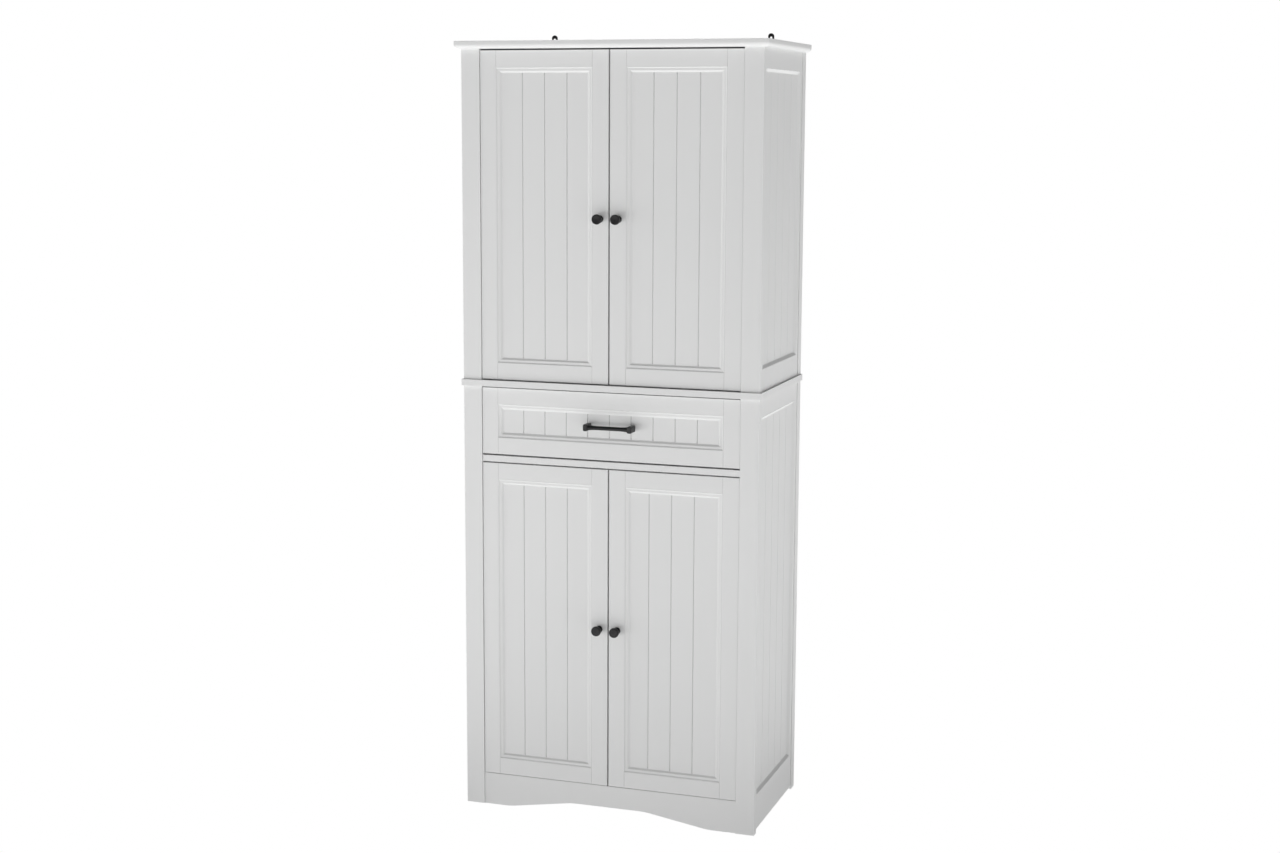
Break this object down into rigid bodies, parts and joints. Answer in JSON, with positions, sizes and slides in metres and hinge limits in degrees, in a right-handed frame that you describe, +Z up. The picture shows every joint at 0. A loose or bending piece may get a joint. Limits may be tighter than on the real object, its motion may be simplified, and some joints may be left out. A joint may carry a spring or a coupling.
{
  "type": "pantry cabinet",
  "caption": "Tall freestanding pantry cabinet: an upper unit with double beadboard doors on a base unit with a drawer, double doors and an arched skirt; black knobs, bar pull and wall eyes.",
  "frame": {"origin": "centre of the bounding box's footprint, on the floor", "axes": "+X to the right as seen from the front, +Y to the back, +Z up; the doors face -Y"},
  "size_m": [0.752, 0.4054, 1.858],
  "materials": {
    "white_boards": "satin white paint over board",
    "black_hardware": "satin black",
    "steel_fittings": "nickel plated"
  },
  "bodies": {
    "carcass": {"top_board": "white_boards", "waist_board": "white_boards", "drawer_deck": "white_boards", "bottom_board": "white_boards", "arched_skirt": "white_boards", "upper_front_post_left": "white_boards", "upper_front_post_right": "white_boards", "upper_rear_post_left": "white_boards", "upper_rear_post_right": "white_boards", "upper_side_panel_left": "white_boards", "upper_side_panel_right": "white_boards", "upper_back_panel": "white_boards", "lower_front_post_left": "white_boards", "lower_front_post_right": "white_boards", "lower_rear_post_left": "white_boards", "lower_rear_post_right": "white_boards", "lower_side_panel_left": "white_boards", "lower_side_panel_right": "white_boards", "lower_back_panel": "white_boards", "upper_shelf_low": "white_boards", "upper_shelf_high": "white_boards", "lower_shelf": "white_boards", "upper_hinge_plate_bottom_left": "steel_fittings", "upper_hinge_plate_top_left": "steel_fittings", "upper_hinge_plate_bottom_right": "steel_fittings", "upper_hinge_plate_top_right": "steel_fittings", "lower_hinge_plate_bottom_left": "steel_fittings", "lower_hinge_plate_top_left": "steel_fittings", "lower_hinge_plate_bottom_right": "steel_fittings", "lower_hinge_plate_top_right": "steel_fittings", "slide_packer_left": "white_boards", "slide_packer_right": "white_boards", "slide_rail_left": "steel_fittings", "slide_rail_right": "steel_fittings", "wall_hanger_left": "black_hardware", "wall_hanger_right": "black_hardware"},
    "door_upper_left": {"upper_left_door": "white_boards", "upper_knob_left": "black_hardware"},
    "links_upper_left": {"upper_hinge_link_bottom_left": "steel_fittings", "upper_hinge_link_top_left": "steel_fittings"},
    "door_upper_right": {"upper_right_door": "white_boards", "upper_knob_right": "black_hardware"},
    "links_upper_right": {"upper_hinge_link_bottom_right": "steel_fittings", "upper_hinge_link_top_right": "steel_fittings"},
    "door_lower_left": {"lower_left_door": "white_boards", "lower_knob_left": "black_hardware"},
    "links_lower_left": {"lower_hinge_link_bottom_left": "steel_fittings", "lower_hinge_link_top_left": "steel_fittings"},
    "door_lower_right": {"lower_right_door": "white_boards", "lower_knob_right": "black_hardware"},
    "links_lower_right": {"lower_hinge_link_bottom_right": "steel_fittings", "lower_hinge_link_top_right": "steel_fittings"},
    "drawer": {"drawer_front": "white_boards", "drawer_side_left": "white_boards", "drawer_side_right": "white_boards", "drawer_back": "white_boards", "drawer_bottom": "white_boards", "drawer_pull": "black_hardware", "drawer_runner_left": "steel_fittings", "drawer_runner_right": "steel_fittings"}
  },
  "joints": [
    {"name": "upper_left_door_hinge", "type": "hinge", "parent": "carcass", "child": "door_upper_left", "pos_m": [-0.317, -0.17375, 1.42775], "axis": [0, 0, -1], "range_deg": [0, 100]},
    {"name": "upper_right_door_hinge", "type": "hinge", "parent": "carcass", "child": "door_upper_right", "pos_m": [0.317, -0.17375, 1.42775], "axis": [0, 0, 1], "range_deg": [0, 100]},
    {"name": "lower_left_door_hinge", "type": "hinge", "parent": "carcass", "child": "door_lower_left", "pos_m": [-0.317, -0.17375, 0.4625], "axis": [0, 0, -1], "range_deg": [0, 100]},
    {"name": "lower_right_door_hinge", "type": "hinge", "parent": "carcass", "child": "door_lower_right", "pos_m": [0.317, -0.17375, 0.4625], "axis": [0, 0, 1], "range_deg": [0, 100]},
    {"name": "upper_left_link_hinge", "type": "hinge", "parent": "carcass", "child": "links_upper_left", "pos_m": [-0.316, -0.15225, 1.42775], "axis": [0, 0, -1], "range_deg": [0, 57]},
    {"name": "upper_right_link_hinge", "type": "hinge", "parent": "carcass", "child": "links_upper_right", "pos_m": [0.316, -0.15225, 1.42775], "axis": [0, 0, 1], "range_deg": [0, 57]},
    {"name": "lower_left_link_hinge", "type": "hinge", "parent": "carcass", "child": "links_lower_left", "pos_m": [-0.316, -0.15225, 0.4625], "axis": [0, 0, -1], "range_deg": [0, 57]},
    {"name": "lower_right_link_hinge", "type": "hinge", "parent": "carcass", "child": "links_lower_right", "pos_m": [0.316, -0.15225, 0.4625], "axis": [0, 0, 1], "range_deg": [0, 57]},
    {"name": "drawer_slide", "type": "slide", "parent": "carcass", "child": "drawer", "axis": [0, -1, 0], "range_m": [0, 0.22]}
  ],
  "couplings": [
    {"joint": "upper_left_link_hinge", "follows": "upper_left_door_hinge", "ratio": 0.56},
    {"joint": "upper_right_link_hinge", "follows": "upper_right_door_hinge", "ratio": 0.56},
    {"joint": "lower_left_link_hinge", "follows": "lower_left_door_hinge", "ratio": 0.56},
    {"joint": "lower_right_link_hinge", "follows": "lower_right_door_hinge", "ratio": 0.56}
  ]
}
